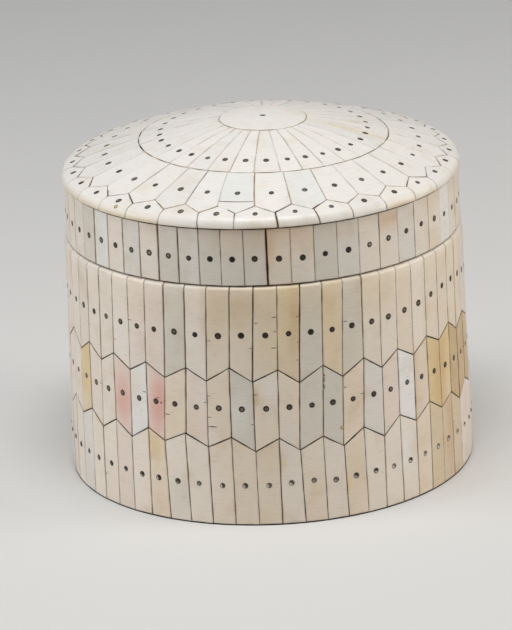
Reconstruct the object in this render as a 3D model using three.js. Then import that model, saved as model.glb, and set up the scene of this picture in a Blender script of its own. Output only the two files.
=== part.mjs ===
// A round wooden box with a lift-off lid, veneered all over with pinned bone plaques.
// Millimetres, +Z up. The origin is the middle of the underside, and the front faces -Y.
import * as THREE from 'three';

// Body, measured over the bone
const mouthRadius = 80.0;
const footFlare = 1.6;
const lowerRowHeight = 33.8;
const middleRowHeight = 28.2;
const upperRowHeight = 35.9;
const zigzagRise = 5.0;
const mouthRounding = 1.4;

// Lid, measured over the bone
const lidInset = 0.3;
const lidTaper = 0.3;
const lidBandHeight = 23.2;
const rimOverhang = 0.45;
const rimFaceHeight = 3.2;
const rimRounding = 4.0;
const domeRise = 18.5;
const domeSlope = 0.44;
const rimPlaqueLength = 6.95;
const rimJoinRise = 4.4;
const outerPlaqueLength = 22.9;
const innerPlaqueLength = 32.5;

// Bone veneer
const veneerThickness = 2.0;
const grooveWidth = 0.5;
const grooveDepth = 0.8;
const stripPairs = 29;
const lidStrips = 55;
const domePlaques = 32;
const innerRingPlaques = 33;
const firstStripJoint = 2.9;
const firstLidStripJoint = 0.5;
const firstPlaqueJoint = -2.4;
const firstInnerJoint = -4.8;
const turnedSides = 48;

// Wooden carcase under the bone
const wallThickness = 7.5;
const baseThickness = 8.0;
const lidThickness = 7.0;
const domeThickness = 7.0;
const hollowRounding = 9.0;
const lipThickness = 3.6;
const lipHeight = 4.0;

// Clearances
const glueGap = 0.3;
const plaqueGap = 0.3;
const seatGap = 0.3;
const lipClearance = 0.5;

// Heights that follow from the sizes above
const strips = 2 * stripPairs;
const lowerJoin = lowerRowHeight;
const upperJoin = lowerJoin + middleRowHeight;
const bodyHeight = upperJoin + upperRowHeight;
const lidFoot = bodyHeight + seatGap;
const capHeight = lidFoot + lidBandHeight;
const crown = capHeight + rimFaceHeight + domeRise;

// Radii that follow from the sizes above
const footRadius = mouthRadius + footFlare;
const lidFootRadius = mouthRadius - lidInset;
const lidBandRadius = lidFootRadius - lidTaper;
const rimRadius = lidBandRadius + rimOverhang;
const rimJoinRadius = rimRadius - rimPlaqueLength;
const ringJoinRadius = rimJoinRadius - outerPlaqueLength;
const discRadius = ringJoinRadius - innerPlaqueLength;
const woodInset = veneerThickness + glueGap;
const boxHollow = mouthRadius - woodInset - wallThickness;
const lipRadius = boxHollow + lipThickness;
const lidHollow = lidBandRadius - woodInset - lidThickness;
const domeEase = ((domeSlope * rimRadius) ** 2 - domeRise ** 2) / (2 * domeRise);

const bone = new THREE.MeshStandardMaterial({ color: 0xe4dacb, roughness: 0.42, metalness: 0 });
const wood = new THREE.MeshStandardMaterial({ color: 0x7d5b3c, roughness: 0.7, metalness: 0 });

// Outer radius of the body, which flares gently from the mouth down to the foot.
function bodyRadius(height) {
  return footRadius + (mouthRadius - footRadius) * THREE.MathUtils.smoothstep(height, 0, bodyHeight);
}

// Outer radius of the lid's side band, which tapers towards the rim.
function bandRadius(height) {
  return lidFootRadius - (lidTaper * (height - lidFoot)) / lidBandHeight;
}

// The dome's slope: level at the crown, and near a cone of slope domeSlope towards the rim.
function domeFall(radius) {
  return (domeSlope ** 2 * radius) / Math.hypot(domeEase, domeSlope * radius);
}

// A point of the dome, or of the surface that lies a depth below it.
function domePoint(radius, depth) {
  const drop = Math.hypot(domeEase, domeSlope * radius) - domeEase;
  return [radius, crown - drop - depth * Math.hypot(1, domeFall(radius))];
}

// Zigzag that is 0 at whole numbers and 1 half way between them.
function zigzag(turn) {
  return 1 - Math.abs(1 - 2 * (turn - Math.floor(turn)));
}

// Height of a zigzag joint between two rows of strips, with a peak at every second strip joint.
function stripEdge(join, strip) {
  return join + zigzagRise * (zigzag(strip / 2 + 0.5) - 0.5);
}

// Arc that rounds the corner between an upright wall and the dome, or a surface below the dome.
function cornerArc(wallRadius, depth, rounding) {
  const [middle, height] = domePoint(wallRadius - rounding, depth + rounding);
  const last = Math.atan(domeFall(middle));
  return [0, 0.5, 1].map((share) => {
    const angle = THREE.MathUtils.lerp(Math.PI / 2, last, share);
    return [middle + rounding * Math.sin(angle), height + rounding * Math.cos(angle)];
  });
}

// Closed ring of plaques that touch along their joints, with a V groove down each joint.
// face gives the section's points at a place counted in plaques from the first joint, at a
// depth below the surface, and back gives the points against the wood. Both start from the
// lower or outer edge. A ridged plaque also has a line down its middle.
function plaqueRing({ count, firstJoint, ridged, face, back }) {
  const pitch = (2 * Math.PI) / count;
  const start = THREE.MathUtils.degToRad(firstJoint);
  const positions = [];
  const triangles = [];

  function addPoint(place, [radius, height]) {
    const angle = start + place * pitch;
    positions.push(radius * Math.sin(angle), -radius * Math.cos(angle), height);
    return positions.length / 3 - 1;
  }

  function column(place, section) {
    return section.map((point) => addPoint(place, point));
  }

  function besideGroove(joint, side) {
    return face(joint, 0).map(([radius], level) => {
      const place = joint + (side * grooveWidth) / 2 / (pitch * radius);
      return addPoint(place, face(place, 0)[level]);
    });
  }

  function wall(left, right) {
    for (let level = 0; level < left.length - 1; level += 1) {
      triangles.push(left[level], right[level], right[level + 1]);
      triangles.push(left[level], right[level + 1], left[level + 1]);
    }
  }

  function endFaces(backLeft, outer, backRight) {
    const edge = [...outer, backRight];
    for (let side = 0; side < edge.length - 1; side += 1) {
      triangles.push(backLeft[0], edge[side + 1][0], edge[side][0]);
      triangles.push(backLeft.at(-1), edge[side].at(-1), edge[side + 1].at(-1));
    }
  }

  const plaques = Array.from({ length: count }, (_, joint) => {
    const middle = joint + 0.5;
    const plaque = {
      faces: [column(joint, face(joint, grooveDepth)), besideGroove(joint, 1), besideGroove(joint + 1, -1)],
      backs: [column(joint, back(joint))],
    };
    if (ridged) {
      plaque.faces.splice(2, 0, column(middle, face(middle, 0)));
      plaque.backs.push(column(middle, back(middle)));
    }
    return plaque;
  });

  plaques.forEach((plaque, joint) => {
    const next = plaques[(joint + 1) % count];
    const faces = [...plaque.faces, next.faces[0]];
    const backs = [...plaque.backs, next.backs[0]];
    for (let side = 0; side < faces.length - 1; side += 1) wall(faces[side], faces[side + 1]);
    for (let side = 0; side < backs.length - 1; side += 1) {
      wall(backs[side + 1], backs[side]);
      const outer = ridged ? faces.slice(2 * side, 2 * side + 3) : faces;
      endFaces(backs[side], outer, backs[side + 1]);
    }
  });

  const geometry = new THREE.BufferGeometry();
  geometry.setAttribute('position', new THREE.Float32BufferAttribute(positions, 3));
  geometry.setIndex(triangles);
  geometry.computeVertexNormals();
  return geometry;
}

// Solid of revolution about the upright axis, from a profile of radius and height.
function turned(profile) {
  const points = profile.map(([radius, height]) => new THREE.Vector2(radius, height));
  const start = THREE.MathUtils.degToRad(firstPlaqueJoint);
  return new THREE.LatheGeometry(points, turnedSides, start, 2 * Math.PI).rotateX(Math.PI / 2);
}

// Radius of a polygon's corners when its flats stand clear of a circle.
function aroundCircle(radius, corners) {
  return radius / Math.cos(Math.PI / corners);
}

// Row of upright strips on the body, between two edges given as heights at a place in strips.
function bodyRow(lowerEdge, upperEdge) {
  const heights = (strip) => [lowerEdge(strip), upperEdge(strip)];
  const backRadius = (height) => aroundCircle(bodyRadius(height) - veneerThickness, strips);
  return plaqueRing({
    count: strips,
    firstJoint: firstStripJoint,
    ridged: false,
    face: (strip, depth) => heights(strip).map((height) => [bodyRadius(height) - depth, height]),
    back: (strip) => heights(strip).map((height) => [backRadius(height), height]),
  });
}

function lowerRow() {
  return bodyRow(
    () => 0,
    (strip) => stripEdge(lowerJoin, strip) - plaqueGap / 2,
  );
}

function middleRow() {
  return bodyRow(
    (strip) => stripEdge(lowerJoin, strip) + plaqueGap / 2,
    (strip) => stripEdge(upperJoin, strip) - plaqueGap / 2,
  );
}

// The upper row's strips are eased at the mouth.
function upperRow() {
  const lower = (strip) => stripEdge(upperJoin, strip) + plaqueGap / 2;
  const backRadius = (height) => aroundCircle(bodyRadius(height) - veneerThickness, strips);
  return plaqueRing({
    count: strips,
    firstJoint: firstStripJoint,
    ridged: false,
    face: (strip, depth) => [
      [bodyRadius(lower(strip)) - depth, lower(strip)],
      [mouthRadius - depth, bodyHeight - mouthRounding],
      [mouthRadius - depth - mouthRounding, bodyHeight],
    ],
    back: (strip) => [lower(strip), bodyHeight].map((height) => [backRadius(height), height]),
  });
}

// Side band of the lid: upright strips between its foot and the rim plaques.
function lidBand() {
  const heights = [lidFoot, capHeight - plaqueGap];
  const backRadius = (height) => aroundCircle(bandRadius(height) - veneerThickness, lidStrips);
  return plaqueRing({
    count: lidStrips,
    firstJoint: firstLidStripJoint,
    ridged: false,
    face: (strip, depth) => heights.map((height) => [bandRadius(height) - depth, height]),
    back: () => heights.map((height) => [backRadius(height), height]),
  });
}

// Radius of the pointed joint between the rim plaques and the outer ring on the dome.
function rimJoin(plaque) {
  return rimJoinRadius + rimJoinRise * (zigzag(plaque) - 0.5);
}

// Five-sided plaques that roll over the lid's edge, half a plaque out of step with the rings.
function rimPlaques() {
  const inner = (plaque) => rimJoin(plaque + 0.5) + plaqueGap / 2;
  const backRadius = lidBandRadius - veneerThickness;
  return plaqueRing({
    count: domePlaques,
    firstJoint: firstPlaqueJoint + 180 / domePlaques,
    ridged: true,
    face: (plaque, depth) => [
      [rimRadius - depth, capHeight],
      ...cornerArc(rimRadius - depth, depth, rimRounding - depth),
      domePoint(inner(plaque), depth),
    ],
    back: (plaque) => [
      [backRadius, capHeight],
      domePoint(backRadius, veneerThickness),
      domePoint(inner(plaque), veneerThickness),
    ],
  });
}

// Ring of tapering plaques on the dome, between an outer edge that may be pointed and an inner one.
function domeRing({ count, firstJoint, outerEdge, innerRadius, ridged }) {
  const outer = (plaque) => outerEdge(plaque) - plaqueGap / 2;
  const inner = innerRadius + plaqueGap / 2;
  return plaqueRing({
    count,
    firstJoint,
    ridged,
    face: (plaque, depth) =>
      [outer(plaque), (outer(plaque) + inner) / 2, inner].map((radius) => domePoint(radius, depth)),
    back: (plaque) => [outer(plaque), inner].map((radius) => domePoint(radius, veneerThickness)),
  });
}

function outerPlaques() {
  return domeRing({
    count: domePlaques,
    firstJoint: firstPlaqueJoint,
    outerEdge: rimJoin,
    innerRadius: ringJoinRadius,
    ridged: true,
  });
}

function innerPlaques() {
  return domeRing({
    count: innerRingPlaques,
    firstJoint: firstInnerJoint,
    outerEdge: () => ringJoinRadius,
    innerRadius: discRadius,
    ridged: false,
  });
}

function centreDisc() {
  const radius = discRadius - plaqueGap / 2;
  const [, edgeHeight] = domePoint(radius, 0);
  const profile = [
    domePoint(0, veneerThickness),
    domePoint(radius, veneerThickness),
    [radius, edgeHeight - grooveWidth],
    domePoint(radius - grooveWidth, 0),
    domePoint(radius / 2, 0),
    domePoint(0, 0),
  ];
  return turned(profile);
}

// Turned wooden cup with a thin lip, standing proud of the seam, that keeps the lid in place.
function boxCarcase() {
  const outside = [0, lowerJoin, upperJoin, bodyHeight].map((height) => [
    bodyRadius(height) - woodInset,
    height,
  ]);
  const profile = [
    [0, 0],
    ...outside,
    [lipRadius, bodyHeight],
    [lipRadius, bodyHeight + lipHeight],
    [boxHollow, bodyHeight + lipHeight],
    [boxHollow, baseThickness],
    [0, baseThickness],
  ];
  return turned(profile);
}

// Turned wooden lid, hollow below its dome, rebated at the foot to pass over the lip.
function lidCarcase() {
  const rebateRadius = lipRadius + lipClearance;
  const rebateTop = bodyHeight + lipHeight + lipClearance;
  const wallRadius = lidBandRadius - woodInset;
  const domeOutside = [wallRadius, rimJoinRadius, ringJoinRadius, discRadius, 0];
  const underside = woodInset + domeThickness;
  const profile = [
    domePoint(0, underside),
    domePoint(lidHollow / 2, underside),
    ...cornerArc(lidHollow, underside, hollowRounding).reverse(),
    [lidHollow, rebateTop],
    [rebateRadius, rebateTop],
    [rebateRadius, lidFoot],
    [lidFootRadius - woodInset, lidFoot],
    [wallRadius, capHeight],
    ...domeOutside.map((radius) => domePoint(radius, woodInset)),
  ];
  return turned(profile);
}

const box = new THREE.Group();

function add(parent, name, geometry, material) {
  const mesh = new THREE.Mesh(geometry, material.clone());
  mesh.name = name;
  parent.add(mesh);
}

const body = new THREE.Group();
add(body, 'box_carcase', boxCarcase(), wood);
add(body, 'lower_bone_strips', lowerRow(), bone);
add(body, 'middle_bone_strips', middleRow(), bone);
add(body, 'upper_bone_strips', upperRow(), bone);
box.add(body);

const lid = new THREE.Group();
add(lid, 'lid_carcase', lidCarcase(), wood);
add(lid, 'lid_side_bone_strips', lidBand(), bone);
add(lid, 'lid_rim_bone_plaques', rimPlaques(), bone);
add(lid, 'lid_outer_bone_plaques', outerPlaques(), bone);
add(lid, 'lid_inner_bone_plaques', innerPlaques(), bone);
add(lid, 'lid_centre_bone_disc', centreDisc(), bone);
box.add(lid);

export default box;
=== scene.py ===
# Round lidded box in wood, veneered with bone strips and plaques that are pinned with wire.
# Metres, +Z up, front towards -Y. Sizes named in mm are millimetres.
import bpy
import math
import random
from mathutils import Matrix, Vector


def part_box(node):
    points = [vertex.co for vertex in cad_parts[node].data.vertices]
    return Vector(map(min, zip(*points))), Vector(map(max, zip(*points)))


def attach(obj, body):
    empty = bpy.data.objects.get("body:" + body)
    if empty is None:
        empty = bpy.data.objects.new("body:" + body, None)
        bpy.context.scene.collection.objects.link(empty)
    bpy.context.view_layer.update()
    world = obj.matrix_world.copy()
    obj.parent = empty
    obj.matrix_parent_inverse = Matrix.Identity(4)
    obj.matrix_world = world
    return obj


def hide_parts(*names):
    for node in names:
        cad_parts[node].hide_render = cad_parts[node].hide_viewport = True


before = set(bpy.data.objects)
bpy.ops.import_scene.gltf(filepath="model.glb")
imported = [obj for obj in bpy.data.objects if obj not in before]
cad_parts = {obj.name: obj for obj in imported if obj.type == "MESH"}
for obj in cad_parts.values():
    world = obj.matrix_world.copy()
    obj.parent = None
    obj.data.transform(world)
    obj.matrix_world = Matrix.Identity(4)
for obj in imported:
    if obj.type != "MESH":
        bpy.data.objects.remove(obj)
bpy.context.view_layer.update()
mm = 0.001
fullTurn = 2 * math.pi


def hexColour(code):
    # sRGB hex to the linear values that shaders work in
    shares = [int(code[i:i + 2], 16) / 255 for i in (1, 3, 5)]
    return [c / 12.92 if c <= 0.04045 else ((c + 0.055) / 1.055) ** 2.4 for c in shares]


def addObject(name, data):
    item = bpy.data.objects.new(name, data)
    bpy.context.scene.collection.objects.link(item)
    return item


# Camera at the photograph's viewing angle

cameraView = {
    "place": (0.0, -1.546, 0.601),
    "aim": (-0.0045, -0.0004, 0.0589),
    "roll": -2.6,           # degrees, the picture leans a little
    "lens": 231.1,
    "sensor": 36.0,
}


def makeCamera(view):
    data = bpy.data.cameras.new("photoCamera")
    data.lens = view["lens"]
    data.sensor_width = view["sensor"]
    camera = addObject("photoCamera", data)
    camera.location = view["place"]
    sight = Vector(view["aim"]) - camera.location
    camera.rotation_euler = sight.to_track_quat("-Z", "Y").to_euler()
    camera.rotation_euler.rotate_axis("Z", math.radians(view["roll"]))
    bpy.context.scene.camera = camera


makeCamera(cameraView)
print("camera placed")


# Sizes read from the frame

def lowOf(node):
    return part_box(node)[0].z


def highOf(node):
    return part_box(node)[1].z


def reachOf(node):
    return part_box(node)[1].x


rowGap = 0.3 * mm
bodyTop = highOf("upper_bone_strips")
lidFoot = lowOf("lid_side_bone_strips")
capEdge = lowOf("lid_rim_bone_plaques")
crown = highOf("lid_centre_bone_disc")
footRadius = reachOf("lower_bone_strips")
rimRadius = reachOf("lid_rim_bone_plaques")
lidFootRadius = reachOf("lid_side_bone_strips")
lowerJoin = (highOf("lower_bone_strips") + lowOf("middle_bone_strips")) / 2
upperJoin = (highOf("middle_bone_strips") + lowOf("upper_bone_strips")) / 2
zigzagRise = highOf("lower_bone_strips") - lowOf("middle_bone_strips") + rowGap
ringJoinRadius = reachOf("lid_inner_bone_plaques") + rowGap / 2
discRadius = reachOf("lid_centre_bone_disc") + rowGap / 2

boxForm = {
    "mouthRadius": 80.0 * mm,
    "mouthRounding": 2.0 * mm,
    "mouthReach": 1.2 * mm,   # the upper strips bend over the mouth's edge
    "footGap": 0.3 * mm,      # the strips end just above the floor, over a black rib painted as contact shadow
    "bandInset": 0.45 * mm,
    "lidTaper": 0.3 * mm,
    "rimFace": 3.2 * mm,      # from the rim's foot to where the dome would meet its side
    "rimRounding": 4.0 * mm,
    "domeSlope": 0.44,
    "rimJoinRadius": 72.9 * mm,
    "rimJoinRise": 4.4 * mm,
    "ringShift": 1.75 * mm,   # the inner rings of plaques lie this far right of the middle
}
domeSlope = boxForm["domeSlope"]
domeRise = crown - capEdge - boxForm["rimFace"]
domeEase = ((domeSlope * rimRadius) ** 2 - domeRise ** 2) / (2 * domeRise)
print("sizes read from the frame")


# Surfaces: each gives radius, height and the outward normal at a distance along its section

def bodySurface(path):
    share = min(max(path / bodyTop, 0), 1)
    ease = share * share * (3 - 2 * share)
    rounding = boxForm["mouthRounding"]
    mouth = boxForm["mouthRadius"]
    turn = (path - (bodyTop - rounding)) / rounding
    if turn <= 0:
        return footRadius + (mouth - footRadius) * ease, path, 1.0, 0.0
    turn = min(turn, math.pi / 2)
    over = max(path - bodyTop - rounding * (math.pi / 2 - 1), 0)
    across = mouth - rounding + rounding * math.cos(turn) - over
    return across, bodyTop - rounding + rounding * math.sin(turn), math.cos(turn), math.sin(turn)


def bandSurface(path):
    share = path / (capEdge - lidFoot)
    radius = lidFootRadius - boxForm["bandInset"] - boxForm["lidTaper"] * share
    return radius, lidFoot + path, 1.0, 0.0


def domeHeight(radius):
    return crown + domeEase - math.hypot(domeEase, domeSlope * radius)


def domeFall(radius):
    return domeSlope ** 2 * radius / math.hypot(domeEase, domeSlope * radius)


cornerMiddle = rimRadius - boxForm["rimRounding"]
cornerAngle = math.atan(domeFall(cornerMiddle))
cornerHeight = domeHeight(cornerMiddle) - boxForm["rimRounding"] / math.cos(cornerAngle)
cornerEnd = cornerMiddle + boxForm["rimRounding"] * math.sin(cornerAngle)
uprightPart = cornerHeight - capEdge
cornerPart = boxForm["rimRounding"] * (math.pi / 2 - cornerAngle)


def lidSurface(path):
    # up the rim, round its edge, then over the dome towards the crown
    if path < uprightPart:
        return rimRadius, capEdge + path, 1.0, 0.0
    if path < uprightPart + cornerPart:
        angle = math.pi / 2 - (path - uprightPart) / boxForm["rimRounding"]
        out, up = math.sin(angle), math.cos(angle)
        across = cornerMiddle + boxForm["rimRounding"] * out
        return across, cornerHeight + boxForm["rimRounding"] * up, out, up
    radius = cornerEnd - (path - uprightPart - cornerPart)
    angle = math.atan(domeFall(radius))
    return radius, domeHeight(radius), math.sin(angle), math.cos(angle)


def domePath(radius):
    # distance along the lid's section at which the dome has this radius
    return uprightPart + cornerPart + cornerEnd - radius


def shiftRing(angle, path):
    # the plaques' rings are laid a little to the right of the dome's middle
    radius = lidSurface(path)[0]
    if path < uprightPart + cornerPart:
        return angle, path
    share = min((cornerEnd - radius) / (cornerEnd - ringJoinRadius), 1)
    across = radius * math.sin(angle) + boxForm["ringShift"] * share
    forward = radius * math.cos(angle)
    return math.atan2(across, forward), domePath(math.hypot(across, forward))


# Mesh building

def newShape():
    return {"points": [], "faces": [], "tint": [], "grain": [], "edge": []}


def addPoint(shape, spot, tint, grain=(0, 0, 0), edge=1.0):
    shape["points"].append(spot)
    shape["tint"].append((*tint, 1.0))
    shape["grain"].append(grain)
    shape["edge"].append(edge)
    return len(shape["points"]) - 1


def addGrid(shape, columns):
    # faces between neighbouring columns of points
    for a, b in zip(columns, columns[1:]):
        for row in range(len(a) - 1):
            shape["faces"].append((a[row], b[row], b[row + 1], a[row + 1]))


def joinRings(shape, rings, closed=False):
    # a skin over rings of points: it has a face at each end, or closes on itself
    pairs = list(zip(rings, rings[1:]))
    if closed:
        pairs.append((rings[-1], rings[0]))
    for a, b in pairs:
        for i in range(len(a)):
            k = (i + 1) % len(a)
            shape["faces"].append((a[i], a[k], b[k], b[i]))
    if not closed:
        shape["faces"].append(tuple(reversed(rings[0])))
        shape["faces"].append(tuple(rings[-1]))


def onSurface(surface, angle, path, height):
    if surface is lidSurface:
        angle, path = shiftRing(angle, path)
    radius, level, out, up = surface(path)
    radius += out * height
    return radius * math.sin(angle), -radius * math.cos(angle), level + up * height


def finishPiece(name, shape, material, replaced=()):
    mesh = bpy.data.meshes.new(name)
    mesh.from_pydata(shape["points"], [], shape["faces"])
    tint = mesh.attributes.new("tint", "FLOAT_COLOR", "POINT")
    tint.data.foreach_set("color", [c for colour in shape["tint"] for c in colour])
    grain = mesh.attributes.new("grain", "FLOAT_VECTOR", "POINT")
    grain.data.foreach_set("vector", [c for spot in shape["grain"] for c in spot])
    edge = mesh.attributes.new("edge", "FLOAT", "POINT")
    edge.data.foreach_set("value", shape["edge"])
    mesh.materials.append(material)
    mesh.shade_smooth()
    mesh.set_sharp_from_angle(angle=math.radians(50))
    piece = addObject(name, mesh)
    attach(piece, "root")
    if replaced:
        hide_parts(*replaced)


plaqueForm = {
    "bevel": 0.14 * mm,
    "bevelSteps": [0.0, 0.3, 1.0],
    "rim": 0.8 * mm,          # width of the band next to an edge that can be stained
    "depth": 1.7 * mm,
    "columns": [0.3, 0.5, 0.7],
}


def nearEdge():
    # distances from an edge at which its rounding and its stain are drawn
    return [share * plaqueForm["bevel"] for share in plaqueForm["bevelSteps"]] + [plaqueForm["rim"]]


def edgeDrop(distance):
    bevel = plaqueForm["bevel"]
    if distance >= bevel:
        return 0.0
    return bevel - math.sqrt(bevel ** 2 - (bevel - distance) ** 2)


def plaqueAt(plaque, share, path):
    # angle, height of the face and width of a plaque at a share of its width
    radius = plaque["surface"](path)[0]
    left, right = (side(path) for side in plaque["sides"])
    width = (right - left) * radius
    off = (share - 0.5) * width
    height = plaque["lift"] + plaque["tilt"] * off + plaque["lean"] * (path - plaque["middle"])
    height += plaque["flat"] * (off ** 2 - width ** 2 / 4) / (2 * radius)
    return left + share * (right - left), height, width


def tintAt(plaque, share, along):
    # the plaque's own tint under its soft stains
    tint = plaque["tint"]
    for colour, across, level, wide, long, strength in plaque["stains"]:
        weight = strength * math.exp(-((share - across) / wide) ** 2 - ((along - level) / long) ** 2)
        tint = [a + (b - a) * weight for a, b in zip(tint, colour)]
    return tint


def addPlaque(shape, plaque):
    # one plaque with eased edges: its sides are the joint angles left and right at a path, its
    # ends the paths below and above at a share of the width
    rim = plaqueForm["rim"]
    lowerEnd, upperEnd = plaque["ends"]
    lowRows = nearEdge() + plaque["lowRows"]
    highRows = nearEdge() + plaque["highRows"]
    middleWidth = plaqueAt(plaque, 0.5, plaque["middle"])[2]
    fullLength = upperEnd(0.5) - lowerEnd(0.5)
    columns = [(d / middleWidth, d, 1) for d in nearEdge()]
    columns += [(share, None, 0) for share in plaqueForm["columns"]]
    columns += [(1 - d / middleWidth, d, -1) for d in reversed(nearEdge())]

    def spotAt(column, path, fromEnd, sunk):
        share, fromSide, facing = column
        width = plaqueAt(plaque, 0.5, path)[2]
        if facing:
            share = fromSide / width if facing > 0 else 1 - fromSide / width
        else:
            fromSide = rim
        angle, height, width = plaqueAt(plaque, share, path)
        height -= edgeDrop(fromSide) + edgeDrop(fromEnd) + sunk
        grain = ((share - 0.5) * width / mm, (path - plaque["middle"]) / mm, plaque["seed"])
        tint = tintAt(plaque, share, 0.5 + (path - plaque["middle"]) / fullLength)
        spot = onSurface(plaque["surface"], angle, path, height)
        return addPoint(shape, spot, tint, grain, min(fromSide, fromEnd, rim) / mm)

    face = []
    back = []
    for column in columns:
        share = min(max(column[0], 0), 1)
        low, high = lowerEnd(share), upperEnd(share)
        first, last = low + lowRows[-1], high - highRows[-1]
        steps = plaque["steps"]
        between = [first + (last - first) * i / steps for i in range(1, steps)]
        paths = [low + d for d in lowRows] + between + [high - d for d in reversed(highRows)]
        gaps = [max(min(path - low, high - path), 0) for path in paths]
        depth = plaqueForm["depth"]
        face.append([spotAt(column, path, gap, 0) for path, gap in zip(paths, gaps)])
        back.append([spotAt(column, path, gap, depth) for path, gap in zip(paths, gaps)])
    addGrid(shape, face)
    addGrid(shape, back[::-1])
    addGrid(shape, [back[0], face[0]])
    addGrid(shape, [face[-1], back[-1]])
    addGrid(shape, [[column[0] for column in face], [column[0] for column in back]])
    addGrid(shape, [[column[-1] for column in back], [column[-1] for column in face]])


nickForm = {
    "width": 0.3 * mm,
    "widthShares": (0.7, 0.15),   # of the shortest nick, and more for each mm of length
    "longer": 1.25,
    "outline": [(-0.5, 0.15), (-0.25, 0.8), (0.1, 1.0), (0.5, 0.2)],   # shares of length and width
    "proud": 0.02 * mm,
    "deep": 0.3 * mm,
}


def addNick(shape, plaque, share, path, length, tint):
    # a short crack across the grain, packed with dirt: a thin sliver set in the face
    least, more = nickForm["widthShares"]
    thickness = nickForm["width"] * (least + more * length / mm)
    proud, deep = nickForm["proud"], -nickForm["deep"]
    rings = []
    for along, wide in nickForm["outline"]:
        width = plaqueAt(plaque, 0.5, path)[2]
        place = min(max(share + along * length / width, 0.01), 0.99)
        angle, height = plaqueAt(plaque, place, path)[:2]
        ring = []
        for side, rise in ((-1, proud), (-1, deep), (1, deep), (1, proud)):
            level = path + side * wide * thickness / 2
            spot = onSurface(plaque["surface"], angle, level, height + rise)
            ring.append(addPoint(shape, spot, tint))
        rings.append(ring)
    joinRings(shape, rings)


def addRib(shape, surface, route, width, sunk, tints, closed=False):
    # a ribbon of filler along a joint: route is a list of angle and path, with a tint for each
    count = len(route)
    depth = plaqueForm["depth"]
    rings = []
    for i, (angle, path) in enumerate(route):
        before = route[i - 1] if i or closed else route[i]
        after = route[(i + 1) % count] if i < count - 1 or closed else route[i]
        radius = surface(path)[0]
        turn = (after[0] - before[0] + math.pi) % fullTurn - math.pi
        along, rise = turn * radius, after[1] - before[1]
        length = math.hypot(along, rise)
        sideways, upwards = -rise / length * width / 2, along / length * width / 2
        ring = []
        for side, below in ((1, sunk), (-1, sunk), (-1, depth), (1, depth)):
            spot = onSurface(surface, angle + side * sideways / radius, path + side * upwards, -below)
            ring.append(addPoint(shape, spot, tints[i]))
        rings.append(ring)
    joinRings(shape, rings, closed)


# Materials

def setInputs(tree, node, inputs):
    # inputs are plain values or the sockets that feed them
    for key, value in inputs.items():
        socket = node.inputs[key]
        if isinstance(value, bpy.types.NodeSocket):
            tree.links.new(value, socket)
        elif socket.type == "RGBA":
            socket.default_value = (*value, 1)
        else:
            socket.default_value = value


def addNode(tree, kind, settings=None, inputs=None, output=0):
    # one shader node, which gives back a socket; a mix takes its share at 0 and its colours at 6
    # and 7, a map range its value at 0, the range that it reads at 1 and 2, what it gives at 3 and 4
    node = tree.nodes.new("ShaderNode" + kind)
    for key, value in (settings or {}).items():
        setattr(node, key, value)
    setInputs(tree, node, inputs or {})
    return node.outputs[output]


def newMaterial(name):
    material = bpy.data.materials.new(name)
    material.use_nodes = True
    tree = material.node_tree
    return material, tree, tree.nodes["Principled BSDF"]


soft = {"interpolation_type": "SMOOTHSTEP"}
times = {"operation": "MULTIPLY"}
multiply = {"data_type": "RGBA", "blend_type": "MULTIPLY"}
cover = {"data_type": "RGBA", "blend_type": "MIX"}

boneLook = {
    "scrapeWidth": 5.0,           # mm, across the strip
    "scrapeHeight": 0.45,         # mm, drawn coarser than the real scraper marks so that they show
    "scrape": "#cfc2ae",
    "scrapeShare": 0.25,
    "cloudSize": 8.0,             # mm
    "cloud": "#e0cfb2",
    "cloudShare": 0.3,
    "edge": "#a58c6c",
    "edgeReach": (0.05, 0.45),    # mm from a joint
    "edgeShare": (0.1, 0.6),
    "roughness": (0.32, 0.44),
    "refraction": 1.54,
    "glow": 0.12,
    "glowReach": 1.2 * mm,
    "bump": 0.05 * mm,
}


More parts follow.
